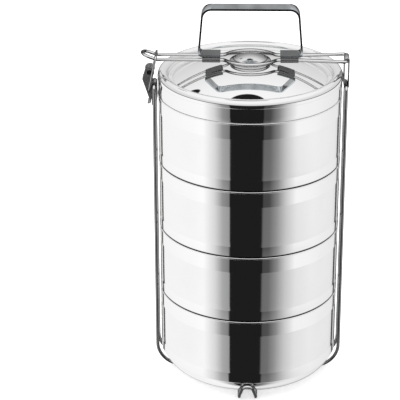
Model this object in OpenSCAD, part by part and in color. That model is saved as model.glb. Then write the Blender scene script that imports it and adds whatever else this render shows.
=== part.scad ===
// Stacked food carrier: four nesting bowls and a lid, clamped in a bent-wire frame by a swinging top bar.
// Origin on the floor, under the middle of the stack. +Z up, hinge towards +X, latch towards -X, front towards -Y.

/* [Bowls] */
// Outer diameter of every bowl, mm
body_d = 160; // [150:1:160]
// Height one bowl adds to the stack, mm
tier_pitch = 62; // [58:1:64]
// Depth of the stepped lower end that nests in the bowl below, mm
nest_depth = 15; // [12:0.5:16]
// Outside radius between wall and base, mm
corner_r = 19; // [17:1:24]
// Sheet thickness of bowls and lid, mm
sheet_t = 0.6; // [0.5:0.1:0.7]
// Gap between a nested wall and the wall around it, mm
nest_gap = 0.5; // [0.4:0.1:0.8]
// Height of the folded hem at a rim, mm
hem_h = 1.6; // [1.2:0.1:2.4]
// How far the hem stands out of the wall, mm
hem_out = 0.4; // [0.2:0.1:0.5]

/* [Lid] */
// Depth of the ring that plugs into the top bowl, mm
plug_h = 9; // [6:1:12]
// Height of the straight skirt, mm
skirt_h = 13; // [10:1:14]
// Radius of the rolled rim, mm
rim_r = 4.6; // [3.6:0.2:5]
// Radius of the raised middle, mm
dome_r = 67; // [62:1:68]
// Height of the dome above its edge, mm
dome_rise = 13.4; // [9:0.2:13.4]
// Diameter of the button's flange, mm
knob_d = 36; // [30:1:38]
// Diameter of the raised middle of the button, mm
knob_top_d = 28; // [22:1:30]

/* [Wire frame] */
// Diameter of the frame wire, mm
wire_d = 3; // [2.6:0.1:3]
// Distance from the middle to the upright wires, mm
side_x = 83.3; // [83.3:0.1:84.5]
// Distance between the two upright wires on one side, mm
side_gap = 20; // [19:0.5:22]
// Bend radius of the side wires under the base, mm
side_bend_r = 22; // [20:1:26]
// Distance between the two wires that run front to back, mm
base_gap = 14.6; // [14:0.2:16]
// Distance from the middle to the outside of the front and rear stops, mm
stop_y = 81.5; // [81:0.1:83]
// Height of the front and rear stops, mm
stop_z = 19; // [16:0.5:22]

/* [Top bar and handle] */
// Height of the bar wires above the lid's seat, mm
bar_rise = 30.4; // [30:0.1:32]
// Distance between the bar wires beside the handle, mm
bar_gap = 13; // [13:0.5:14]
// Width of the bar at its hinge end, mm
hinge_gap = 21; // [20.5:0.5:22]
// Radius of the arcs that form the eye, mm
eye_r = 26; // [26:0.5:28]
// Half the width of the eye, mm
eye_half = 19; // [18.5:0.5:20]
// Angle at which the tongue turns up, degrees
tongue_tilt = 20; // [10:1:25]
// Height of the handle above the bar wires, mm
grip_h = 46; // [36:1:60]
// Width of the handle strap, mm
strap_w = 15.5; // [13:0.5:17]
// Thickness of the handle strap, mm
strap_t = 1.8; // [1.4:0.1:2.2]
// Outward slope of the handle's sides, degrees
side_slope = 5; // [2:0.5:6]

/* [Latch] */
// Distance from the middle to the lever's pin, mm
pin_x = 87.4; // [87.2:0.1:88]
// Diameter of the lever's pin, mm
pin_d = 3; // [2.6:0.1:3.2]
// Diameter of the link wire, mm
bail_d = 2.2; // [1.8:0.1:2.4]
// Sheet thickness of lever and brackets, mm
plate_t = 0.8; // [0.6:0.1:0.9]

/* [Hidden] */
lathe_fn = 48;
profile_fn = 28;
wire_fn = 20;
bend_fn = 32;
small_fn = 24;
far = 400;
slack = 0.05;
weld_gap = 0.05;
lap = 0.15;
swell = 0.01;

body_r = body_d / 2;
nest_r = body_r - sheet_t - nest_gap;
wire_r = wire_d / 2;
bail_r = bail_d / 2;

low_wire_z = wire_r;
high_wire_z = 3 * wire_r + weld_gap;
base_z = high_wire_z + wire_r + weld_gap;
first_seat = base_z + nest_depth;
lid_seat = first_seat + 4 * tier_pitch;
bar_z = lid_seat + bar_rise;

rim_c = body_r + 0.6 - rim_r;
rim_z = lid_seat + skirt_h + 2.4;
rim_in = rim_c - rim_r;
channel_z = rim_z - 3.6;
dome_edge_z = channel_z + 1.2;
dome_sphere_r = (dome_r * dome_r + dome_rise * dome_rise) / (2 * dome_rise);
dome_top_z = dome_edge_z + dome_rise;

knob_r = knob_d / 2;
knob_top_r = knob_top_d / 2;
knob_z = dome_top_z - pow(knob_r - plate_t, 2) / (2 * dome_sphere_r) + weld_gap;
knob_flange_z = bar_z - wire_r - 0.15;
knob_top_z = bar_z + 3.4;
rivet_r = 2.4;

span_bend_r = 3;
side_half = side_gap / 2;
side_top_z = lid_seat + 6.9;
bar_half = bar_gap / 2;
hinge_half = hinge_gap / 2;
hinge_plate_half = side_half - span_bend_r - 0.1;
side_leg_l = side_top_z - span_bend_r - low_wire_z - side_bend_r;
side_under_l = 2 * (side_x - side_bend_r);
side_span_l = side_gap - 2 * span_bend_r;

eye_bend_r = 6;
eye_centre = eye_half - eye_r;
eye_start = sqrt(pow(eye_r + eye_bend_r, 2) - pow(bar_half + eye_bend_r - eye_centre, 2));
eye_turn = atan2(eye_start, bar_half + eye_bend_r - eye_centre);

eye_link = 0.2;
eye_extra = eye_link * cos(eye_turn);

clip_in = eye_start + 0.6;
clip_out = clip_in + 15.5;
clip_t = 0.85;
clip_half_z = wire_r + slack + clip_t;
strap_bend_r = 3.4;
strap_corner_r = 8;
strap_foot_l = clip_out - clip_in - 0.5;
strap_foot_rise = clip_half_z + slack + strap_t / 2;
strap_side_l = (grip_h - strap_t / 2 - strap_foot_rise - strap_bend_r * (1 + sin(side_slope))
                - strap_corner_r * (1 - sin(side_slope))) / cos(side_slope);
strap_top_half = clip_in + strap_foot_l + strap_bend_r * cos(side_slope)
                 - strap_side_l * sin(side_slope) - strap_corner_r * cos(side_slope);

kink_x = 80.5;
tongue_l = 5.4;
splay_r = 20;
splay_x = clip_out + 1;
splay = atan2(hinge_half - bar_half, side_x - span_bend_r - splay_x);
splay_l = (side_x - span_bend_r * (1 + sin(splay)) - splay_x - splay_r * sin(splay)) / cos(splay);
hinge_run = bar_half + splay_r * (1 - cos(splay)) + splay_l * sin(splay) - span_bend_r * cos(splay);
kink_r = 5;

pin_z = bar_z - 11.9;
pin_r = pin_d / 2;
ear_half = 5.2;
lever_half = ear_half + slack + 0.15 + plate_t;
link_z = pin_z - 16.6;
tail_z = pin_z - 26.6;
pin_head_t = 0.5;
link_half = lever_half + 0.1 + pin_head_t + 0.1 + lap;
link_x = pin_x + 0.4;
bail_half = bar_half + wire_r + bail_r + 0.2;
bail_bend_r = 2.2;
bail_top_x = kink_x + 1;
bail_top_z = bar_z + wire_r + bail_r + 0.3;
bail_lean = atan2(link_x - bail_top_x, bail_top_z - link_z);
bail_leg = norm([link_x - bail_top_x, bail_top_z - link_z]) - 2 * bail_bend_r;
lever_web_x = pin_x + 5.9;
lever_web_z = pin_z - 6.2;
lever_web_end_x = pin_x - 0.7;

dip_turn = 20;
dip_r = 8;
foot_r = 5;
foot_rise = 56;
dip_l = (high_wire_z - low_wire_z - (dip_r + foot_r) * (1 - cos(dip_turn))) / sin(dip_turn);
arch_l = (stop_z - low_wire_z - foot_r * (1 - cos(foot_rise))) / sin(foot_rise);
foot_y = stop_y - arch_l * cos(foot_rise) - foot_r * sin(foot_rise);
arch_r = 4.5;
foot_lead = 0.5;
arch_lean = atan2(base_gap / 2 - arch_r, arch_l - foot_lead - arch_r);
arch_leg = norm([base_gap / 2 - arch_r, arch_l - foot_lead - arch_r]);

function forward(turn, radius) = radius * sin(abs(turn));
function aside(turn, radius) = sign(turn) * radius * (1 - cos(turn));

// Flat sector of a ring that starts on the +X axis and sweeps through turn degrees
module ring_sector(outer, inner, turn) {
    intersection() {
        difference() {
            circle(r = outer, $fn = bend_fn);
            circle(r = inner, $fn = bend_fn);
        }
        polygon([[0, 0],
                 [far, 0],
                 [far * cos(turn / 2), far * sin(turn / 2)],
                 [far * cos(turn), far * sin(turn)]]);
    }
}

// Flat strip seen edge on: each step is [length, turn, bend radius of the middle line]
module strip(steps, thick, i = 0) {
    if (i < len(steps)) {
        length = steps[i][0];
        turn = steps[i][1];
        radius = steps[i][2];
        translate([-lap, -thick / 2]) square([length + 2 * lap, thick]);
        translate([length, 0]) {
            outer = radius + thick / 2 + swell;
            inner = radius - thick / 2 - swell;
            if (turn > 0)
                translate([0, radius]) rotate(-90) ring_sector(outer, inner, turn);
            if (turn < 0)
                translate([0, -radius]) rotate(90 + turn) ring_sector(outer, inner, -turn);
            translate([forward(turn, radius), aside(turn, radius)])
                rotate(turn)
                    strip(steps, thick, i + 1);
        }
    }
}

// Bent round wire that starts along +X: each step is [length, turn, bend radius, roll before the bend]
module wire(steps, r, i = 0) {
    if (i < len(steps)) {
        length = steps[i][0];
        turn = steps[i][1];
        radius = steps[i][2];
        translate([-lap, 0, 0])
            rotate([0, 90, 0])
                cylinder(h = length + 2 * lap, r = r, $fn = wire_fn);
        translate([length, 0, 0])
            rotate([steps[i][3], 0, 0]) {
                if (turn > 0)
                    translate([0, radius, 0]) rotate(-90) wire_bend(turn, radius, r);
                if (turn < 0)
                    translate([0, -radius, 0]) rotate(90 + turn) wire_bend(-turn, radius, r);
                translate([forward(turn, radius), aside(turn, radius), 0])
                    rotate(turn)
                        wire(steps, r, i + 1);
            }
    }
}

module wire_bend(turn, radius, r) {
    rotate_extrude(angle = turn, $fn = bend_fn)
        translate([radius, 0])
            circle(r = r + swell, $fn = wire_fn);
}

// Half profile of one bowl, its seat at height 0
module bowl_profile() {
    rim = tier_pitch - weld_gap;
    step_r = nest_r - corner_r + sqrt(pow(corner_r, 2) - pow(corner_r - nest_depth, 2));
    translate([body_r - sheet_t, 0]) square([sheet_t, rim]);
    translate([body_r - sheet_t - slack, rim - hem_h]) square([sheet_t + slack + hem_out, hem_h]);
    translate([step_r - sheet_t, 0]) square([body_r - step_r + sheet_t, sheet_t]);
    translate([0, -nest_depth]) square([nest_r - corner_r + lap, sheet_t]);
    translate([nest_r - corner_r, corner_r - nest_depth]) round_corner();
}

// Rounded sheet between the base and the shoulder
module round_corner() {
    intersection() {
        difference() {
            circle(r = corner_r + swell, $fn = profile_fn);
            circle(r = corner_r - sheet_t - swell, $fn = profile_fn);
        }
        translate([0, -corner_r - swell]) square([corner_r, nest_depth + sheet_t + swell]);
    }
}

module bowl(tier) {
    color("silver")
        translate([0, 0, first_seat + tier * tier_pitch])
            rotate_extrude($fn = lathe_fn) bowl_profile();
}

module bowl_1() { bowl(0); }
module bowl_2() { bowl(1); }
module bowl_3() { bowl(2); }
module bowl_4() { bowl(3); }

// Half profile of the lid's sheet
module lid_profile() {
    translate([nest_r - sheet_t, lid_seat - plug_h]) square([sheet_t, plug_h + sheet_t]);
    translate([nest_r - sheet_t, lid_seat]) square([body_r - nest_r + sheet_t, sheet_t]);
    translate([body_r - sheet_t, lid_seat]) square([sheet_t, rim_z - lid_seat]);
    translate([body_r - sheet_t, rim_z - 2.4]) square([rim_c + rim_r - body_r + sheet_t, 2.4]);
    translate([rim_c, rim_z]) rim_roll();
    translate([rim_in, channel_z]) square([sheet_t, rim_z - channel_z]);
    translate([dome_r - sheet_t, channel_z]) square([rim_in - dome_r + 2 * sheet_t, sheet_t]);
    translate([dome_r - sheet_t, channel_z]) square([sheet_t, dome_edge_z - channel_z]);
    translate([0, dome_top_z - dome_sphere_r]) dome_arc();
}

// Rolled rim: half a ring, open side down
module rim_roll() {
    intersection() {
        difference() {
            circle(r = rim_r, $fn = profile_fn);
            circle(r = rim_r - sheet_t, $fn = profile_fn);
        }
        translate([-rim_r, 0]) square([2 * rim_r, rim_r]);
    }
}

// Slice of the dome's sphere between its edge and the rivet hole
module dome_arc() {
    intersection() {
        difference() {
            circle(r = dome_sphere_r, $fn = 160);
            circle(r = dome_sphere_r - sheet_t, $fn = 160);
        }
        translate([rivet_r + slack, dome_sphere_r - dome_rise - sheet_t])
            square([dome_r - rivet_r - slack, dome_rise + 2 * sheet_t]);
    }
}

module lid() {
    color("silver") rotate_extrude($fn = lathe_fn) lid_profile();
}

// Flanged button with a skirt, a boss for the rivet and a rounded top
module lid_knob() {
    top_h = knob_top_z - knob_flange_z;
    top_sphere_r = (knob_top_r * knob_top_r + top_h * top_h) / (2 * top_h);
    boss_r = rivet_r + 2.6;
    color("gainsboro") difference() {
        rotate_extrude($fn = lathe_fn) {
            translate([knob_r - plate_t, knob_z]) square([plate_t, knob_flange_z - knob_z]);
            translate([0, knob_flange_z - plate_t]) square([knob_r, plate_t]);
            translate([0, dome_top_z + weld_gap]) square([boss_r, knob_flange_z - dome_top_z - weld_gap]);
            translate([0, knob_top_z - top_sphere_r]) intersection() {
                circle(r = top_sphere_r, $fn = 64);
                translate([0, top_sphere_r - top_h]) square([knob_top_r, top_h]);
            }
        }
        translate([0, 0, dome_top_z - 1])
            cylinder(h = knob_flange_z - dome_top_z + 2, r = rivet_r + slack, $fn = small_fn);
    }
}

module knob_rivet() {
    head_h = 1.2;
    head_z = dome_top_z - sheet_t - 2 * weld_gap - head_h;
    color("gray") {
        translate([0, 0, head_z]) cylinder(h = head_h, r = rivet_r + 2, $fn = small_fn);
        translate([0, 0, head_z + head_h])
            cylinder(h = knob_flange_z + 1 - slack - head_z - head_h, r = rivet_r, $fn = small_fn);
    }
}

// Wire loop under the stack and up both sides, one closed wire
module side_loop() {
    half_loop = [[side_span_l, 90, span_bend_r, 0],
                 [side_leg_l, 90, side_bend_r, 90],
                 [side_under_l, 90, side_bend_r, 0],
                 [side_leg_l, 90, span_bend_r, -90]];
    color("lightgray")
        translate([side_x, -side_span_l / 2, side_top_z])
            rotate([-90, 0, 90])
                wire(concat(half_loop, half_loop), wire_r);
}

// One wire under the base, seen from the side: foot, dip, run, dip, foot
module base_loop() {
    foot_turn = dip_turn + foot_rise;
    run_l = 2 * (foot_y - (dip_r + foot_r) * sin(dip_turn) - dip_l * cos(dip_turn));
    half_loop = [[run_l, -dip_turn, dip_r, 0],
                 [dip_l, foot_turn, foot_r, 0],
                 [foot_lead, arch_lean, arch_r, 90],
                 [arch_leg, 180 - 2 * arch_lean, arch_r, 0],
                 [arch_leg, arch_lean, arch_r, 0],
                 [foot_lead, foot_turn, foot_r, -90],
                 [dip_l, -dip_turn, dip_r, 0]];
    color("lightgray")
        translate([-base_gap / 2, -run_l / 2, high_wire_z])
            rotate([90, 0, 90])
                wire(concat(half_loop, half_loop), wire_r);
}

// Flat ring with straight sides, seen edge on
module band(length, inner, thick) {
    difference() {
        band_solid(length, inner + thick);
        band_solid(length, inner);
    }
}

module band_solid(length, r) {
    circle(r = r, $fn = small_fn);
    translate([0, length]) circle(r = r, $fn = small_fn);
    translate([-r, 0]) square([2 * r, length]);
}

// Folded strip round the side wires' top span and the top bar's end
module hinge_bracket() {
    color("darkgray")
        translate([side_x, 0, side_top_z])
            rotate([90, 0, 0])
                linear_extrude(height = 2 * hinge_plate_half, center = true)
                    band(bar_z - side_top_z, wire_r + slack, plate_t);
}

// Folded strip over the side wires' top span, with two ears for the lever's pin
module latch_bracket() {
    fold_r = wire_r + slack;
    leaf_x = -side_x - fold_r - plate_t;
    bottom_z = side_top_z - 19;
    ear_r = 4;
    color("darkgray") difference() {
        rotate([90, 0, 0]) {
            linear_extrude(height = 2 * ear_half, center = true) {
                translate([leaf_x, bottom_z]) square([plate_t, pin_z + ear_r - bottom_z]);
                translate([-side_x + fold_r, bottom_z + 4]) square([plate_t, side_top_z - bottom_z - 4]);
                translate([-side_x, side_top_z]) intersection() {
                    difference() {
                        circle(r = fold_r + plate_t, $fn = small_fn);
                        circle(r = fold_r, $fn = small_fn);
                    }
                    translate([-fold_r - plate_t, 0]) square([2 * fold_r + 2 * plate_t, fold_r + plate_t]);
                }
            }
            for (y = [-ear_half, ear_half - plate_t])
                translate([0, 0, y]) linear_extrude(height = plate_t) {
                    translate([-pin_x, pin_z]) circle(r = ear_r, $fn = small_fn);
                    translate([-pin_x, pin_z - ear_r]) square([pin_x + leaf_x + plate_t, 2 * ear_r]);
                }
        }
        translate([-pin_x, 0, pin_z]) rotate([90, 0, 0])
            cylinder(h = far, r = pin_r + slack, center = true, $fn = small_fn);
    }
}

module latch_pin() {
    head_r = pin_r + 0.8;
    color("dimgray") translate([-pin_x, 0, pin_z]) rotate([90, 0, 0]) {
        cylinder(h = 2 * (lever_half + 0.1), r = pin_r, center = true, $fn = small_fn);
        for (side = [-1, 1])
            translate([0, 0, side * (lever_half + 0.1 + pin_head_t / 2)])
                cylinder(h = pin_head_t, r = head_r, center = true, $fn = small_fn);
    }
}

// Side view of one flange of the lever
module lever_flange() {
    translate([-pin_x, pin_z]) circle(r = 4.4, $fn = small_fn);
    polygon([[-pin_x + 4, pin_z - 1.5],
             [-pin_x + 2.1, pin_z - 8],
             [-pin_x + 1.9, tail_z + 2],
             [-lever_web_end_x, tail_z + 0.8],
             [-lever_web_x, lever_web_z],
             [-lever_web_x + 1.8, pin_z]]);
}

// Pressed channel: two flanges and a web that ends in a finger curl
module latch_lever() {
    web_drop = lever_web_z - tail_z;
    web_run = lever_web_x - lever_web_end_x;
    color("darkgray") difference() {
        rotate([90, 0, 0]) {
            for (y = [-lever_half, lever_half - plate_t])
                translate([0, 0, y]) linear_extrude(height = plate_t) lever_flange();
            linear_extrude(height = 2 * lever_half, center = true)
                translate([-lever_web_x, lever_web_z]) rotate(-atan2(web_drop, web_run))
                    strip([[norm([web_drop, web_run]), -110, 1.6], [1, 0, 0]], plate_t);
        }
        translate([-pin_x, 0, pin_z]) rotate([90, 0, 0])
            cylinder(h = far, r = pin_r + slack, center = true, $fn = small_fn);
        translate([-link_x, 0, link_z]) rotate([90, 0, 0])
            cylinder(h = far, r = bail_r + slack, center = true, $fn = small_fn);
    }
}

// Wire link: over the top bar at its kink, down both sides to the lever
module latch_bail() {
    tip_l = bail_half - bail_bend_r - link_half;
    span_l = 2 * (bail_half - bail_bend_r);
    color("lightgray")
        translate([-link_x, -link_half, link_z])
            rotate([0, bail_lean, 0])
                rotate([90, 0, -90])
                    wire([[tip_l, 90, bail_bend_r, 0],
                          [bail_leg, 90, bail_bend_r, 0],
                          [span_l, 90, bail_bend_r, 0],
                          [bail_leg, 90, bail_bend_r, 0],
                          [tip_l, 0, 0, 0]], bail_r);
}

// Closed wire loop: hinge end, eye in the middle, tongue that turns up
module top_bar() {
    eye = [[eye_link, 2 * eye_turn, eye_r, 0],
           [eye_link, -eye_turn, eye_bend_r, 0]];
    to_tongue = [[splay_x - eye_start - eye_extra, -eye_turn, eye_bend_r, 0],
                 eye[0],
                 eye[1],
                 [kink_x - eye_start - eye_extra, tongue_tilt, kink_r, 90]];
    from_tongue = [[kink_x - eye_start - eye_extra, -eye_turn, eye_bend_r, -90],
                   eye[0],
                   eye[1],
                   [splay_x - eye_start - eye_extra, -splay, splay_r, 0]];
    color("lightgray")
        translate([side_x, -hinge_run, bar_z])
            rotate(90)
                wire(concat([[2 * hinge_run, 90 + splay, span_bend_r, 0],
                             [splay_l, -splay, splay_r, 0]],
                            to_tongue,
                            [[tongue_l, 180, bar_half, -90],
                             [tongue_l, tongue_tilt, kink_r, 90]],
                            from_tongue,
                            [[splay_l, 90 + splay, span_bend_r, 0]]), wire_r);
}

module handle_strap() {
    steps = [[strap_foot_l, -90 - side_slope, strap_bend_r],
             [strap_side_l, side_slope - 90, strap_corner_r],
             [2 * strap_top_half, side_slope - 90, strap_corner_r],
             [strap_side_l, -90 - side_slope, strap_bend_r],
             [strap_foot_l, 0, 0]];
    color("lightsteelblue")
        rotate([90, 0, 0])
            linear_extrude(height = strap_w, center = true)
                translate([-clip_in, bar_z + strap_foot_rise])
                    rotate(180)
                        strip(steps, strap_t);
}

// Flattened sleeve round both bar wires
module handle_clip(from_x) {
    color("dimgray")
        translate([from_x, bar_half, bar_z])
            rotate([0, 90, 0])
                rotate(180)
                    linear_extrude(height = clip_out - clip_in)
                        band(bar_gap, wire_r + slack, clip_t);
}

module handle_clip_left() { handle_clip(-clip_out); }
module handle_clip_right() { handle_clip(clip_in); }

bowl_1();
bowl_2();
bowl_3();
bowl_4();
lid();
lid_knob();
knob_rivet();
side_loop();
base_loop();
hinge_bracket();
latch_bracket();
latch_pin();
latch_lever();
latch_bail();
top_bar();
handle_strap();
handle_clip_left();
handle_clip_right();
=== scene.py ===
import bpy
import bmesh
import math
from mathutils import Matrix, Vector


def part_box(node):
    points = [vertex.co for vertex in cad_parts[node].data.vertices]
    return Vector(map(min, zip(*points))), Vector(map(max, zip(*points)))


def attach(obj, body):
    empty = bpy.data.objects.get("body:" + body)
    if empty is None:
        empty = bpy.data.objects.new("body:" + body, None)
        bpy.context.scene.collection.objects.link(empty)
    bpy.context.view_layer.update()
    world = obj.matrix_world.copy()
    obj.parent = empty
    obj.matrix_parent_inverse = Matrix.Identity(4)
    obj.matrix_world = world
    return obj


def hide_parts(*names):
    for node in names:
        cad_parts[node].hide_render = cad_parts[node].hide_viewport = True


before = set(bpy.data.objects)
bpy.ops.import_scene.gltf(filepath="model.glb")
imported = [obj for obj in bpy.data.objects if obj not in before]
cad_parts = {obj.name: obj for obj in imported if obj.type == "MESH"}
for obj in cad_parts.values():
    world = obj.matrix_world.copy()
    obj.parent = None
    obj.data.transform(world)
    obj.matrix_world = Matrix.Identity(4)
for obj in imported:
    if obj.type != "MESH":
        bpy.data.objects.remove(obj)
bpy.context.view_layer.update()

# Pieces are worked out in millimetres and degrees, and become metres when they are added.
MM = 0.001

# ---------------------------------------------------------------- mesh tools

# END_ROUNDING is a share of a wire's radius.
LATHE_STEPS, WIRE_STEPS, BEND_STEP = 192, 24, 6
SHARP_ANGLE = 40
SAME_POINT, MERGE_DISTANCE = 1e-6, 1e-4
END_ROUNDING = 0.3


def size_of(node):
    """Lowest and highest corner of a CAD node."""
    low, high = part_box(node)
    return low / MM, high / MM


def add_piece(name, shape, material, body, node, lift=0.0):
    """One smooth piece that stands for a CAD node and rides on a body. The shape is (vertices, faces)."""
    verts, faces = shape
    mesh = bpy.data.meshes.new(name)
    mesh.from_pydata([Vector(vert) * MM for vert in verts], [], faces)
    mesh.validate()
    tool = bmesh.new()
    tool.from_mesh(mesh)
    bmesh.ops.remove_doubles(tool, verts=tool.verts, dist=MERGE_DISTANCE * MM)
    bmesh.ops.recalc_face_normals(tool, faces=tool.faces)
    for face in tool.faces:
        face.smooth = True
    for edge in tool.edges:
        if len(edge.link_faces) == 2 and edge.calc_face_angle(0) > math.radians(SHARP_ANGLE):
            edge.smooth = False
    tool.to_mesh(mesh)
    tool.free()
    mesh.materials.append(material)
    piece = bpy.data.objects.new(name, mesh)
    piece.location.z = lift * MM
    bpy.context.scene.collection.objects.link(piece)
    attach(piece, body)
    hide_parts(node)


def arc(centre_x, centre_z, r, start, end, steps):
    """Points on a circle in the profile plane."""
    points = []
    for i in range(steps + 1):
        angle = math.radians(start + (end - start) * i / steps)
        points.append((centre_x + r * math.cos(angle), centre_z + r * math.sin(angle)))
    return points


def cap(edge_r, rise, top, steps):
    """Points over a spherical cap, from its edge to its top on the axis."""
    sphere_r = (edge_r ** 2 + rise ** 2) / (2 * rise)
    edge_angle = math.degrees(math.asin(edge_r / sphere_r))
    return arc(0, top - sphere_r, sphere_r, 90 - edge_angle, 90, steps)


def thicken(line, thickness):
    """Closed outline of a sheet: the line itself, and back along the same line moved to its left."""
    inner = []
    for i, (x, z) in enumerate(line):
        x0, z0 = line[max(i - 1, 0)]
        x1, z1 = line[min(i + 1, len(line) - 1)]
        dx, dz = x1 - x0, z1 - z0
        length = math.hypot(dx, dz)
        inner.append((x - dz / length * thickness, z + dx / length * thickness))
    return line + inner[::-1]


def lathe(profile):
    """Vertices and faces of (radius, height) points turned about Z, from the axis out and back to it."""
    verts, faces = [], []
    n = len(profile)
    for i in range(LATHE_STEPS):
        angle = 2 * math.pi * i / LATHE_STEPS
        j = (i + 1) % LATHE_STEPS
        for r, z in profile:
            verts.append((max(r, 0) * math.cos(angle), max(r, 0) * math.sin(angle), z))
        for k in range(n - 1):
            faces.append((i * n + k, j * n + k, j * n + k + 1, i * n + k + 1))
    return verts, faces


def wire_path(steps, closed):
    """Centre line of a bent wire: each step is (length, turn, bend radius, roll before the bend)."""
    place = Matrix.Identity(4)
    points = [place.translation.copy()]
    for length, turn, radius, roll in steps:
        place = place @ Matrix.Translation((length, 0, 0)) @ Matrix.Rotation(math.radians(roll), 4, "X")
        points.append(place.translation.copy())
        if not turn:
            continue
        angle = math.radians(turn)
        count = max(2, int(abs(turn) / BEND_STEP) + 1)
        side = math.copysign(radius, angle)
        for k in range(1, count + 1):
            part = angle * k / count
            bend = Vector((radius * math.sin(abs(part)), side * (1 - math.cos(part)), 0))
            points.append(place @ bend)
        place = place @ Matrix.Translation(bend) @ Matrix.Rotation(angle, 4, "Z")
    if closed:
        points.pop()
    path = points[:1]
    for point in points[1:]:
        if (point - path[-1]).length > SAME_POINT:
            path.append(point)
    return path


def end_rings(ring, sign):
    """Rings that round the edge of a wire's end, from just inside it to the end itself."""
    point, along, side, r = ring
    soft = r * END_ROUNDING
    rings = []
    for angle in (0, math.pi / 6, math.pi / 3, math.pi / 2):
        back = along * sign * soft * (1 - math.sin(angle))
        rings.append((point - back, along, side, r - soft * (1 - math.cos(angle))))
    return rings


def tube(points, r, closed):
    """Vertices and faces of a round wire that follows points, with rounded ends when it is open."""
    n = len(points)
    side = None
    rings = []
    for i, point in enumerate(points):
        before = points[i - 1] if closed or i else point
        after = points[(i + 1) % n] if closed or i < n - 1 else point
        along = (after - before).normalized()
        if side is None:
            side = along.orthogonal()
        side = (side - along * side.dot(along)).normalized()
        rings.append((point, along, side, r))
    twist = 0
    if closed:
        along, first = rings[0][1:3]
        last = (side - along * side.dot(along)).normalized()
        twist = math.atan2(first.cross(last).dot(along), first.dot(last))
    else:
        rings = end_rings(rings[0], -1)[::-1] + rings[1:-1] + end_rings(rings[-1], 1)
    total = len(rings)
    verts, faces = [], []
    for i, (point, along, side, ring_r) in enumerate(rings):
        up = along.cross(side)
        for k in range(WIRE_STEPS):
            angle = 2 * math.pi * k / WIRE_STEPS - twist * i / total
            verts.append(point + (side * math.cos(angle) + up * math.sin(angle)) * ring_r)
    for i in range(total if closed else total - 1):
        here, there = i * WIRE_STEPS, (i + 1) % total * WIRE_STEPS
        for k in range(WIRE_STEPS):
            beside = (k + 1) % WIRE_STEPS
            faces.append((here + k, here + beside, there + beside, there + k))
    if not closed:
        faces.append(tuple(range(WIRE_STEPS)))
        faces.append(tuple(range((total - 1) * WIRE_STEPS, total * WIRE_STEPS)))
    return verts, faces


def turned_place(at, *turns):
    """Start of a wire: a point, then turns about the wire's own axes."""
    place = Matrix.Translation(at)
    for angle, axis in turns:
        place = place @ Matrix.Rotation(math.radians(angle), 4, axis)
    return place


def add_wire(node, steps, start, r, body, closed=True):
    """Bent wire that stands for a CAD node, in the steps of wire_path from a starting place."""
    points = [start @ point for point in wire_path(steps, closed)]
    add_piece(f"{node}_wire", tube(points, r, closed), wire_steel, body, node)


# ---------------------------------------------------------------- shader tools


class Shader:
    """A small helper that adds nodes to one material or world and links them."""

    def __init__(self, tree):
        self.tree = tree
        tree.nodes.clear()

    def node(self, kind, settings=None, **inputs):
        """New node. An input is a socket's name with _ for each space, or i and the socket's number."""
        made = self.tree.nodes.new(kind)
        for key, value in (settings or {}).items():
            setattr(made, key, value)
        for key, value in inputs.items():
            self.put(made, key.replace("_", " "), value)
        return made

    def put(self, made, socket, value):
        by_number = socket[0] == "i" and socket[1:].isdigit()
        target = made.inputs[int(socket[1:]) if by_number else socket]
        if isinstance(value, bpy.types.NodeSocket):
            self.tree.links.new(value, target)
        else:
            target.default_value = value

    def math(self, operation, a, b=0.0, clamp=False):
        settings = {"operation": operation, "use_clamp": clamp}
        return self.node("ShaderNodeMath", settings, i0=a, i1=b).outputs[0]

    def vector_math(self, operation, a, b=(0, 0, 0)):
        return self.node("ShaderNodeVectorMath", {"operation": operation}, i0=a, i1=b)

    def remap(self, value, from_min, from_max, to_min, to_max):
        return self.node("ShaderNodeMapRange", {"interpolation_type": "SMOOTHSTEP"}, Value=value,
                         From_Min=from_min, From_Max=from_max, To_Min=to_min, To_Max=to_max).outputs[0]

    def mix(self, share, first, second):
        return self.node("ShaderNodeMix", {"data_type": "RGBA"}, i0=share, i6=first, i7=second).outputs[2]

    def noise(self, vector, scale, detail):
        return self.node("ShaderNodeTexNoise", Vector=vector, Scale=scale, Detail=detail).outputs["Fac"]

    def stretch(self, vector, scale):
        return self.node("ShaderNodeMapping", Vector=vector, Scale=scale).outputs[0]

    def parts(self, vector):
        return self.node("ShaderNodeSeparateXYZ", Vector=vector).outputs

    def colour(self, value, tint=(1, 1, 1)):
        """Grey of a given level, times a tint."""
        red, green, blue = (self.math("MULTIPLY", value, share) for share in tint)
        return self.node("ShaderNodeCombineColor", Red=red, Green=green, Blue=blue).outputs[0]

    def ramp(self, value, stops):
        """Greys between stops of (place, level)."""
        made = self.node("ShaderNodeValToRGB", Fac=value)
        bar = made.color_ramp
        while len(bar.elements) < len(stops):
            bar.elements.new(0.5)
        for element, (place, level) in zip(bar.elements, stops):
            element.position = place
            element.color = (level, level, level, 1)
        return made.outputs[0]


# ---------------------------------------------------------------- steel

TURN_SHARE = 0.002
GRAIN_DETAIL, GRAIN_BUMP, GRAIN_DEPTH = 4.0, 0.35, 0.002
SMUDGE_SCALE, SMUDGE_DETAIL = 28.0, 5.0
SMUDGE_FROM, SMUDGE_TO = 0.45, 0.75
SMUDGE_TONE, SMUDGE_ROUGH = 0.02, 0.035
# Scale and detail of the slow tone bands that paint a reflection onto the steel.
PAINTED_SHEEN_SCALE, PAINTED_SHEEN_DETAIL = (60, 20, 20), 2.0
FOOT_LEVEL, FOOT_SOFT = 0.22, 1.0
SEAM_DARK, SEAM_END, SEAM_LEVEL = 0.8, 1.7, 0.02
SATIN_FROM, SATIN_TO, SATIN_SOFT = 10.0, 47.5, 0.35
SATIN_ROUGH, SATIN_LEAN = 0.03, 0.11


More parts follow.
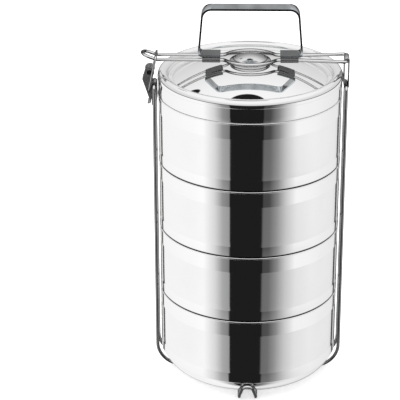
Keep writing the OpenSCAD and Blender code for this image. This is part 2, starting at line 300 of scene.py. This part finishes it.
def around(shader, coords):
    """Coordinates for marks that run round the Z axis: a little of the angle, then radius and height."""
    x, y, z = shader.parts(coords)
    angle = shader.math("MULTIPLY", shader.math("ARCTAN2", y, x), TURN_SHARE)
    squares = shader.math("ADD", shader.math("MULTIPLY", x, x), shader.math("MULTIPLY", y, y))
    return shader.node("ShaderNodeCombineXYZ", X=angle, Y=shader.math("SQRT", squares), Z=z).outputs[0]


def seam_shade(shader, height):
    """Dark line where a bowl sits on the one below, even as far as SEAM_DARK and gone at SEAM_END."""
    above = shader.remap(height, SEAM_DARK * MM, SEAM_END * MM, SEAM_LEVEL, 1.0)
    below = shader.remap(height, -SEAM_END * MM, -SEAM_DARK * MM, 1.0, SEAM_LEVEL)
    return shader.math("MAXIMUM", above, below)


def satin_mask(shader, height):
    """1 on the satin band of a bowl's wall, 0 on the polished bands above and below it."""
    starts = shader.remap(height, (SATIN_FROM - SATIN_SOFT) * MM, (SATIN_FROM + SATIN_SOFT) * MM, 0.0, 1.0)
    ends = shader.remap(height, (SATIN_TO - SATIN_SOFT) * MM, (SATIN_TO + SATIN_SOFT) * MM, 1.0, 0.0)
    return shader.math("MULTIPLY", starts, ends)


def satin_normal(shader, mask):
    """Surface direction that leans down on the satin band, so that it reflects a paler part of the studio."""
    lean = shader.math("MULTIPLY", mask, -SATIN_LEAN)
    lean_by = shader.node("ShaderNodeCombineXYZ", Z=lean).outputs[0]
    normal = shader.node("ShaderNodeNewGeometry").outputs["Normal"]
    tilted = shader.vector_math("ADD", normal, lean_by).outputs[0]
    return shader.vector_math("NORMALIZE", tilted).outputs[0]


def steel(name, tone, edge_tone, rim, rough, grain_scale, grain_rough, turned=False, tint=(1, 1, 1),
          satin=False, seam=False, painted_sheen=0.0, foot=None):
    """Stainless steel with brushed grain and faint smudges, darker at grazing angles.

    rim is the range of facing over which tone turns to edge_tone; this darkening at grazing angles is painted
    shade that stands in for dark reflections along outlines. turned runs the grain round the Z axis.
    painted_sheen is the strength of slow bands painted into the tone as a painted reflection, and foot the
    height below which the steel is in shade.
    """
    material = bpy.data.materials.new(name)
    material.use_nodes = True
    shader = Shader(material.node_tree)
    coords = shader.node("ShaderNodeTexCoord").outputs["Object"]
    height = shader.parts(coords)[2]
    marks = around(shader, coords) if turned else coords
    grain = shader.noise(shader.stretch(marks, grain_scale), 1.0, GRAIN_DETAIL)
    smudge = shader.noise(coords, SMUDGE_SCALE, SMUDGE_DETAIL)
    smudge = shader.remap(smudge, SMUDGE_FROM, SMUDGE_TO, 0.0, 1.0)

    # Painted shade: the tone turns towards edge_tone at grazing angles, standing in for dark reflections
    # along the outlines.
    facing = shader.node("ShaderNodeLayerWeight", Blend=0.5).outputs["Facing"]
    edge = shader.remap(facing, rim[0], rim[1], 0.0, 1.0)
    level = shader.math("ADD", shader.math("MULTIPLY", edge, edge_tone - tone), tone)
    level = shader.math("SUBTRACT", level, shader.math("MULTIPLY", smudge, SMUDGE_TONE))
    # Painted reflection: slow bands in the tone stand in for a gradient reflected along the steel.
    if painted_sheen:
        slow = shader.noise(shader.stretch(coords, PAINTED_SHEEN_SCALE), 1.0, PAINTED_SHEEN_DETAIL)
        change = shader.math("MULTIPLY", shader.math("SUBTRACT", slow, 0.5), painted_sheen)
        level = shader.math("ADD", level, change)
    if foot:
        shade = shader.remap(height, foot * MM, (foot + FOOT_SOFT) * MM, FOOT_LEVEL, 1.0)
        level = shader.math("MULTIPLY", level, shade)
    if seam:
        level = shader.math("MULTIPLY", level, seam_shade(shader, height))

    grain_change = shader.math("MULTIPLY", shader.math("SUBTRACT", grain, 0.5), grain_rough)
    roughness = shader.math("ADD", grain_change, rough)
    roughness = shader.math("ADD", roughness, shader.math("MULTIPLY", smudge, SMUDGE_ROUGH), clamp=True)
    bump = shader.node("ShaderNodeBump", Strength=GRAIN_BUMP, Distance=GRAIN_DEPTH * MM, Height=grain)
    if satin:
        mask = satin_mask(shader, height)
        roughness = shader.math("ADD", roughness, shader.math("MULTIPLY", mask, SATIN_ROUGH), clamp=True)
        shader.put(bump, "Normal", satin_normal(shader, mask))
    surface = shader.node("ShaderNodeBsdfPrincipled", Base_Color=shader.colour(level, tint), Metallic=1.0,
                          Roughness=roughness, Normal=bump.outputs[0])
    shader.node("ShaderNodeOutputMaterial", Surface=surface.outputs[0])
    return material


# Grain scales are per metre along the three axes of the marks: a low number draws the grain out that way.
BOWL_LOOK = {"tone": 0.94, "edge_tone": 0.45, "rim": (0.72, 1.0), "rough": 0.02, "grain_scale": (1, 700, 700),
             "grain_rough": 0.015, "turned": True, "satin": True}
STRAP_FOOT_Z = 304

bowl_steel = steel("bowl_steel", seam=True, **BOWL_LOOK)
bottom_steel = steel("bottom_bowl_steel", **BOWL_LOOK)
lid_steel = steel("lid_steel", tone=0.92, edge_tone=0.45, rim=(0.72, 1.0), rough=0.02,
                  grain_scale=(1, 500, 500), grain_rough=0.015, turned=True)
knob_steel = steel("knob_steel", tone=0.78, edge_tone=0.06, rim=(0.25, 0.9), rough=0.1,
                   grain_scale=(1, 900, 900), grain_rough=0.05, turned=True)
wire_steel = steel("wire_steel", tone=0.88, edge_tone=0.03, rim=(0.06, 0.42), rough=0.07,
                   grain_scale=(300, 300, 300), grain_rough=0.06)
plate_steel = steel("plate_steel", tone=0.74, edge_tone=0.06, rim=(0.3, 0.95), rough=0.36,
                    grain_scale=(900, 900, 60), grain_rough=0.14)
sleeve_steel = steel("sleeve_steel", tone=0.16, edge_tone=0.02, rim=(0.3, 0.85), rough=0.16,
                     grain_scale=(60, 900, 900), grain_rough=0.12)
# The strap's slow tone bands are a painted reflection.
strap_steel = steel("strap_steel", tone=0.6, edge_tone=0.06, rim=(0.4, 0.95), rough=0.12,
                    grain_scale=(40, 700, 700), grain_rough=0.08, tint=(0.92, 0.98, 1.02), painted_sheen=0.7,
                    foot=STRAP_FOOT_Z)
pin_steel = steel("pin_steel", tone=0.42, edge_tone=0.1, rim=(0.35, 1.0), rough=0.2,
                  grain_scale=(300, 300, 300), grain_rough=0.1)

# ---------------------------------------------------------------- bowls

SHEET = 0.6
BOWL_R = 80
NEST_R = 78.9
NEST_DEPTH = 15
CORNER_R = 19
EDGE_R, INNER_EDGE_R = 1.1, 1.0
HEM_OUT, HEM_H, HEM_LEAD = 0.4, 1.6, 0.3
WALL_POINTS = (0.25, 0.5, 0.75)


def bowl_outline(rim):
    """Section of one bowl, outside first, height 0 at its seat. Points on the wall keep its shading even."""
    corner = (NEST_R - CORNER_R, CORNER_R - NEST_DEPTH)
    corner_end = math.degrees(math.asin((NEST_DEPTH - CORNER_R) / CORNER_R))
    roll_r = (SHEET + HEM_OUT) / 2
    roll_x = BOWL_R + HEM_OUT - roll_r
    inner_edge_x = BOWL_R - SHEET - INNER_EDGE_R
    outside = [(0, -NEST_DEPTH)] + arc(*corner, CORNER_R, -90, corner_end, 14)
    outside += arc(BOWL_R - EDGE_R, EDGE_R, EDGE_R, -90, 0, 6)
    outside += [(BOWL_R, rim * share) for share in WALL_POINTS]
    outside += [(BOWL_R, rim - HEM_H - HEM_LEAD)] + arc(BOWL_R, rim - HEM_H + HEM_OUT, HEM_OUT, -90, 0, 4)
    outside += arc(roll_x, rim - roll_r, roll_r, 0, 180, 8)
    inside = [(BOWL_R - SHEET, rim / 2)] + arc(inner_edge_x, SHEET + INNER_EDGE_R, INNER_EDGE_R, 0, -90, 5)
    inside += arc(*corner, CORNER_R - SHEET, corner_end, -90, 14) + [(0, SHEET - NEST_DEPTH)]
    return outside + inside


for tier in (1, 2, 3, 4):
    bowl = f"bowl_{tier}"
    low, high = size_of(bowl)
    seat = low.z + NEST_DEPTH
    finish = bottom_steel if tier == 1 else bowl_steel
    add_piece(f"{bowl}_shell", lathe(bowl_outline(high.z - seat)), finish, bowl, bowl, lift=seat)

# ---------------------------------------------------------------- lid

LID_SHEET = 0.48
PLUG_H, PLUG_START, PLUG_STEP = 9, 0.3, 0.4
SKIRT_EDGE_R, SKIRT_MIDDLE, SKIRT_DROP = 0.6, 5.0, 3.2
RIM_R, RIM_RISE, RIM_FOOT_R, RIM_FOOT_DROP, RIM_SIDE_DROP = 4.6, 15.4, 0.6, 2.0, 1.0
CHANNEL_R, CHANNEL_DROP = 1.2, 3.0
DOME_R, DOME_EDGE_DROP, DOME_LIP, DOME_LIP_R = 67, 2.4, 1.0, 0.9


def lid_outline():
    """Outer line of the lid: plug, skirt, rolled rim, channel and dome."""
    low, high = size_of("lid")
    seat = low.z + PLUG_H
    rim_x, rim_z = high.x - RIM_R, seat + RIM_RISE
    channel_z = rim_z - CHANNEL_DROP
    line = [(NEST_R, low.z + PLUG_START), (NEST_R, seat - PLUG_STEP), (NEST_R + PLUG_STEP, seat)]
    line += arc(BOWL_R - SKIRT_EDGE_R, seat + SKIRT_EDGE_R, SKIRT_EDGE_R, -90, 0, 4)
    line += [(BOWL_R, seat + SKIRT_MIDDLE), (BOWL_R, rim_z - SKIRT_DROP)]
    line += arc(BOWL_R, rim_z - RIM_FOOT_DROP, RIM_FOOT_R, -90, 0, 4) + [(high.x, rim_z - RIM_SIDE_DROP)]
    line += arc(rim_x, rim_z, RIM_R, 0, 180, 18)
    line += arc(rim_x - RIM_R - CHANNEL_R, channel_z + CHANNEL_R, CHANNEL_R, 0, -90, 5)
    line += [(DOME_R + DOME_LIP, channel_z)]
    line += arc(DOME_R + DOME_LIP, channel_z + DOME_LIP_R, DOME_LIP_R, -90, -150, 4)
    return line + cap(DOME_R, high.z - rim_z + DOME_EDGE_DROP, high.z, 24)


add_piece("lid_shell", lathe(thicken(lid_outline(), LID_SHEET)), lid_steel, "lid", "lid")

CROWN_R, CROWN_H, CROWN_STEP = 14.0, 5.05, 0.9
CROWN_FOOT, NECK_OUT, NECK_RISE, NECK_R = 0.2, 0.9, 0.55, 0.6
FLANGE_FOOT_R, FLANGE_EDGE_R = 0.8, 1.2


def button_outline():
    """Section of the button: a flange with a round edge, a small hollow, and the domed crown."""
    low, high = size_of("lid_knob")
    flange_z = high.z - CROWN_H
    line = [(0, low.z)] + arc(high.x - FLANGE_FOOT_R, low.z + FLANGE_FOOT_R, FLANGE_FOOT_R, -90, 0, 4)
    line += arc(high.x - FLANGE_EDGE_R, flange_z - FLANGE_EDGE_R, FLANGE_EDGE_R, 0, 80, 6)
    line += arc(CROWN_R + NECK_OUT, flange_z + NECK_RISE, NECK_R, -100, -180, 4)
    line += [(CROWN_R + CROWN_FOOT, flange_z + CROWN_STEP)]
    return line + cap(CROWN_R, CROWN_H - CROWN_STEP, high.z, 14)


add_piece("lid_knob_button", lathe(button_outline()), knob_steel, "lid", "lid_knob")

# ---------------------------------------------------------------- wires

WIRE_R = 1.5
WIRE_GAP = 0.05
SPAN_BEND_R, UNDER_BEND_R = 3, 22

side_x = size_of("side_loop")[1].x - WIRE_R


def side_loop():
    """Loop across the stack: up both sides as pairs of wires and under the bowls."""
    high = size_of("side_loop")[1]
    top = high.z - WIRE_R
    span = 2 * (high.y - WIRE_R - SPAN_BEND_R)
    leg = top - SPAN_BEND_R - WIRE_R - UNDER_BEND_R
    under = 2 * (side_x - UNDER_BEND_R)
    half = [(span, 90, SPAN_BEND_R, 0), (leg, 90, UNDER_BEND_R, 90), (under, 90, UNDER_BEND_R, 0),
            (leg, 90, SPAN_BEND_R, -90)]
    return half * 2, turned_place((side_x, -span / 2, top), (90, "Z"), (-90, "X"))


add_wire("side_loop", *side_loop(), WIRE_R, "frame")

DIP_TURN, DIP_R = 20, 8
FOOT_RISE, FOOT_R, FOOT_LEAD = 56, 5, 0.5
ARCH_R = 4.5


def base_loop():
    """Loop front to back: two runs under the bowls that dip to the feet and rise to an arch at each end."""
    high = size_of("base_loop")[1]
    half_gap, stop_y, stop_z = high.x - WIRE_R, high.y - WIRE_R, high.z - WIRE_R
    run_z = 3 * WIRE_R + WIRE_GAP
    rise_sin, rise_cos = math.sin(math.radians(FOOT_RISE)), math.cos(math.radians(FOOT_RISE))
    dip_sin, dip_cos = math.sin(math.radians(DIP_TURN)), math.cos(math.radians(DIP_TURN))
    arch_l = (stop_z - WIRE_R - FOOT_R * (1 - rise_cos)) / rise_sin
    foot_y = stop_y - arch_l * rise_cos - FOOT_R * rise_sin
    dip_l = (run_z - WIRE_R - (DIP_R + FOOT_R) * (1 - dip_cos)) / dip_sin
    run_l = 2 * (foot_y - (DIP_R + FOOT_R) * dip_sin - dip_l * dip_cos)
    arch_in, arch_up = half_gap - ARCH_R, arch_l - FOOT_LEAD - ARCH_R
    arch_lean = math.degrees(math.atan2(arch_in, arch_up))
    arch_leg = math.hypot(arch_in, arch_up)
    half = [(run_l, -DIP_TURN, DIP_R, 0), (dip_l, DIP_TURN + FOOT_RISE, FOOT_R, 0),
            (FOOT_LEAD, arch_lean, ARCH_R, 90), (arch_leg, 180 - 2 * arch_lean, ARCH_R, 0),
            (arch_leg, arch_lean, ARCH_R, 0), (FOOT_LEAD, DIP_TURN + FOOT_RISE, FOOT_R, -90),
            (dip_l, -DIP_TURN, DIP_R, 0)]
    return half * 2, turned_place((-half_gap, -run_l / 2, run_z), (90, "Z"), (90, "X"))


add_wire("base_loop", *base_loop(), WIRE_R, "frame")

BAR_HALF, HINGE_HALF = 6.5, 10.5
EYE_R, EYE_BEND_R, EYE_LINK = 26, 6, 0.2
KINK_X, KINK_R, TONGUE_TILT, TONGUE_L = 80.5, 5, 20, 5.4
SPLAY_R, SPLAY_FROM_CLIP = 20, 1


def top_bar():
    """Top bar: spread at the hinge, straight past the handle, an eye in the middle and an upturned tongue."""
    low, high = size_of("top_bar")
    eye_centre = high.y - WIRE_R - EYE_R
    eye_side = BAR_HALF + EYE_BEND_R - eye_centre
    eye_start = math.sqrt((EYE_R + EYE_BEND_R) ** 2 - eye_side ** 2)
    eye_turn = math.degrees(math.atan2(eye_start, eye_side))
    eye_end = eye_start + EYE_LINK * math.cos(math.radians(eye_turn))
    splay_x = size_of("handle_clip_right")[1].x + SPLAY_FROM_CLIP
    splay = math.atan2(HINGE_HALF - BAR_HALF, side_x - SPAN_BEND_R - splay_x)
    splay_sin, splay_cos = math.sin(splay), math.cos(splay)
    splay_l = (side_x - SPAN_BEND_R * (1 + splay_sin) - splay_x - SPLAY_R * splay_sin) / splay_cos
    hinge_run = BAR_HALF + SPLAY_R * (1 - splay_cos) + splay_l * splay_sin - SPAN_BEND_R * splay_cos
    splay = math.degrees(splay)
    eye = [(EYE_LINK, 2 * eye_turn, EYE_R, 0), (EYE_LINK, -eye_turn, EYE_BEND_R, 0)]
    steps = [(2 * hinge_run, 90 + splay, SPAN_BEND_R, 0), (splay_l, -splay, SPLAY_R, 0),
             (splay_x - eye_end, -eye_turn, EYE_BEND_R, 0)] + eye
    steps += [(KINK_X - eye_end, TONGUE_TILT, KINK_R, 90), (TONGUE_L, 180, BAR_HALF, -90),
              (TONGUE_L, TONGUE_TILT, KINK_R, 90), (KINK_X - eye_end, -eye_turn, EYE_BEND_R, -90)] + eye
    steps += [(splay_x - eye_end, -splay, SPLAY_R, 0), (splay_l, 90 + splay, SPAN_BEND_R, 0)]
    return steps, turned_place((side_x, -hinge_run, low.z + WIRE_R), (90, "Z"))


add_wire("top_bar", *top_bar(), WIRE_R, "bar")

LINK_R, LINK_BEND_R = 1.1, 2.2
LINK_OUT, LINK_DROP, LINK_CLEAR = 0.4, 16.6, 0.85


def latch_bail():
    """Open link: its two ends stop beside the lever's flanges, and its middle lies over the bar's kink."""
    high = size_of("latch_bail")[1]
    pin_low, pin_high = size_of("latch_pin")
    end_x = (pin_low.x + pin_high.x) / 2 - LINK_OUT
    end_y = size_of("latch_lever")[1].y + LINK_CLEAR
    end_z = (pin_low.z + pin_high.z) / 2 - LINK_DROP
    top_half = high.y - LINK_R
    inwards, rise = high.x - LINK_R - end_x, high.z - LINK_R - end_z
    lean = math.degrees(math.atan2(inwards, rise))
    leg = math.hypot(inwards, rise) - 2 * LINK_BEND_R
    tip = top_half - LINK_BEND_R - end_y
    steps = [(tip, 90, LINK_BEND_R, 0), (leg, 90, LINK_BEND_R, 0),
             (2 * (top_half - LINK_BEND_R), 90, LINK_BEND_R, 0), (leg, 90, LINK_BEND_R, 0), (tip, 0, 0, 0)]
    return steps, turned_place((end_x, -end_y, end_z), (lean, "Y"), (-90, "Z"), (90, "X"))


add_wire("latch_bail", *latch_bail(), LINK_R, "bail", closed=False)

# ---------------------------------------------------------------- CAD shapes that stay

WELD_DISTANCE = 0.01
BEVEL_WIDTH, BEVEL_STEPS, BEVEL_ANGLE = 0.2, 2, 35
KEPT_NODES = {"handle_strap": strap_steel,
              "handle_clip_left": sleeve_steel, "handle_clip_right": sleeve_steel,
              "hinge_bracket": plate_steel, "latch_bracket": plate_steel, "latch_lever": plate_steel,
              "latch_pin": pin_steel, "knob_rivet": pin_steel}

for node, material in KEPT_NODES.items():
    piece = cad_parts[node]
    piece.data.materials.clear()
    piece.data.materials.append(material)
    weld = piece.modifiers.new("weld", "WELD")
    weld.merge_threshold = WELD_DISTANCE * MM
    bevel = piece.modifiers.new("edges", "BEVEL")
    bevel.width = BEVEL_WIDTH * MM
    bevel.segments = BEVEL_STEPS
    bevel.limit_method = "ANGLE"
    bevel.angle_limit = math.radians(BEVEL_ANGLE)

# ---------------------------------------------------------------- floor

# Floor, lamps and camera are placed in metres.
FLOOR_HALF, FLOOR_DROP = 4.0, 0.0002
FLOOR_GLOW = 0.45
MOTTLE_SCALE, MOTTLE_DETAIL = 6.0, 3.0
MOTTLE_LOW, MOTTLE_HIGH = 0.93, 0.97

scene = bpy.context.scene
scene.view_settings.view_transform = "Standard"


def floor_paper():
    """Matt white paper, a little uneven, with a faint glow of its own."""
    paper = bpy.data.materials.new("floor_paper")
    paper.use_nodes = True
    shader = Shader(paper.node_tree)
    place = shader.node("ShaderNodeTexCoord").outputs["Object"]
    mottle = shader.remap(shader.noise(place, MOTTLE_SCALE, MOTTLE_DETAIL), 0.3, 0.7, MOTTLE_LOW, MOTTLE_HIGH)
    matt = shader.node("ShaderNodeBsdfDiffuse", Color=shader.colour(mottle))
    glow = shader.node("ShaderNodeEmission", Color=(1, 1, 1, 1), Strength=FLOOR_GLOW)
    surface = shader.node("ShaderNodeAddShader", i0=matt.outputs[0], i1=glow.outputs[0])
    shader.node("ShaderNodeOutputMaterial", Surface=surface.outputs[0])
    return paper


floor_mesh = bpy.data.meshes.new("floor")
corners = [(x * FLOOR_HALF, y * FLOOR_HALF, 0) for x, y in ((-1, -1), (1, -1), (1, 1), (-1, 1))]
floor_mesh.from_pydata(corners, [], [(0, 1, 2, 3)])
floor_mesh.materials.append(floor_paper())
floor = bpy.data.objects.new("floor", floor_mesh)
floor.location.z = -FLOOR_DROP
floor.visible_glossy = False
scene.collection.objects.link(floor)

# ---------------------------------------------------------------- studio seen in the steel

# Azimuths and heights of a ray are in degrees: azimuth 0 is in front and 90 to the right.
BLACK, HORIZON = 0.013, 0.06
BLACK_GREY = (BLACK, BLACK, BLACK, 1)
HORIZON_GREY = (HORIZON, HORIZON, HORIZON, 1)
WHITE = (1, 1, 1, 1)

# Greys of the tent's wall by azimuth: a black strip in front with grey on both sides of it. The polished
# parts reflect the wall just below the horizon, and the satin bands reflect its lower part.
UPPER_WALL = ((-180, 0.5), (-150, 0.95), (-60, 1.05), (-45, 0.72), (-34, 0.30), (-24.5, 0.2),
              (-24, BLACK), (17, BLACK),
              (17.5, 0.06), (26, 0.07), (37, 0.26), (48, 0.62), (62, 0.97), (90, 0.95), (140, 0.85),
              (180, 0.4))
LOWER_WALL = ((-180, 0.5), (-150, 0.93), (-64, 0.99), (-47, 0.72), (-36, 0.42), (-26.5, 0.34),
              (-26, BLACK), (18, BLACK),
              (18.5, 0.15), (28, 0.17), (38, 0.31), (52, 0.6), (68, 0.8), (95, 0.88), (140, 0.82),
              (180, 0.4))
LOWER_WALL_ENDS, UPPER_WALL_STARTS = -38, -25
ROOF_STARTS, ROOF_FULL = -4, 8
ROOF_EDGE, ROOF_MIDDLE = (5, 0.72), (60, 1.0)
HORIZON_FOOT, HORIZON_TOP = (-9, -6), (-1, 3)
DISC_UP = math.radians(65.5)
DISC_TOWARDS, DISC_RADIUS = (-0.02, math.cos(DISC_UP), math.sin(DISC_UP)), (7.6, 8.2)
PATCH_TOWARDS, PATCH_RADIUS = (-0.34, 0.66, 0.67), (2.4, 3.0)


def wall(sky, azimuth, greys):
    """Grey of the tent's wall at an azimuth."""
    around_once = sky.math("ADD", sky.math("DIVIDE", azimuth, 360.0), 0.5)
    return sky.ramp(around_once, [(0.5 + angle / 360, level) for angle, level in greys])


def round_spot(sky, ray, towards, radius):
    """1 inside a round spot, falling to 0 between two angular radii."""
    near = sky.vector_math("DOT_PRODUCT", ray, towards).outputs[1]
    return sky.remap(near, math.cos(math.radians(radius[1])), math.cos(math.radians(radius[0])), 0.0, 1.0)


def tent(sky):
    """Colour of the tent in the direction of a ray."""
    ray = sky.node("ShaderNodeTexCoord").outputs["Generated"]
    x, y, z = sky.parts(ray)
    azimuth = sky.math("DEGREES", sky.math("ARCTAN2", x, sky.math("MULTIPLY", y, -1.0)))
    height = sky.math("DEGREES", sky.math("ARCSINE", z))
    low_down = sky.remap(height, LOWER_WALL_ENDS, UPPER_WALL_STARTS, 1.0, 0.0)
    colour = sky.mix(low_down, wall(sky, azimuth, UPPER_WALL), wall(sky, azimuth, LOWER_WALL))
    roof = sky.remap(height, ROOF_EDGE[0], ROOF_MIDDLE[0], ROOF_EDGE[1], ROOF_MIDDLE[1])
    colour = sky.mix(sky.remap(height, ROOF_STARTS, ROOF_FULL, 0.0, 1.0), colour, sky.colour(roof))
    horizon = sky.math("MULTIPLY", sky.remap(height, *HORIZON_FOOT, 0.0, 1.0),
                       sky.remap(height, *HORIZON_TOP, 1.0, 0.0))
    colour = sky.mix(horizon, colour, HORIZON_GREY)
    disc = round_spot(sky, ray, DISC_TOWARDS, DISC_RADIUS)
    patch = round_spot(sky, ray, PATCH_TOWARDS, PATCH_RADIUS)
    return sky.mix(sky.math("MAXIMUM", disc, patch), colour, BLACK_GREY)


world = bpy.data.worlds.new("studio")
world.use_nodes = True
scene.world = world
sky = Shader(world.node_tree)
glossy = sky.node("ShaderNodeLightPath").outputs["Is Glossy Ray"]
light = sky.node("ShaderNodeBackground", Color=sky.mix(glossy, WHITE, tent(sky)), Strength=1.0)
sky.node("ShaderNodeOutputWorld", Surface=light.outputs[0])

# ---------------------------------------------------------------- lamps

LAMP_AIM = Vector((0, 0, 0.15))


def softbox(name, at, width, power):
    """Soft square lamp that points at the stack and isn't seen in the steel."""
    lamp = bpy.data.lights.new(name, "AREA")
    lamp.size = width
    lamp.energy = power
    holder = bpy.data.objects.new(name, lamp)
    holder.location = at
    holder.rotation_mode = "QUATERNION"
    holder.rotation_quaternion = (Vector(at) - LAMP_AIM).to_track_quat("Z", "Y")
    holder.visible_glossy = False
    scene.collection.objects.link(holder)


softbox("softbox_top", (0.0, -0.3, 1.8), 1.6, 16.0)
softbox("softbox_left", (-1.4, -1.0, 1.1), 1.2, 6.0)

# ---------------------------------------------------------------- camera

CAMERA_AT = (0.0, -1.409, 0.792)
PITCH, YAW, ROLL = 24.01, 1.79, -0.23
LENS_MM, SENSOR_MM, VIEW_END = 154.71, 36.0, 30.0

lens = bpy.data.cameras.new("camera")
lens.sensor_width = SENSOR_MM
lens.lens = LENS_MM
lens.clip_end = VIEW_END
camera = bpy.data.objects.new("camera", lens)
camera.location = CAMERA_AT
camera.rotation_mode = "QUATERNION"
aim = turned_place((0, 0, 0), (YAW, "Z"), (90 - PITCH, "X"), (ROLL, "Z"))
camera.rotation_quaternion = aim.to_quaternion()
scene.collection.objects.link(camera)
scene.camera = camera
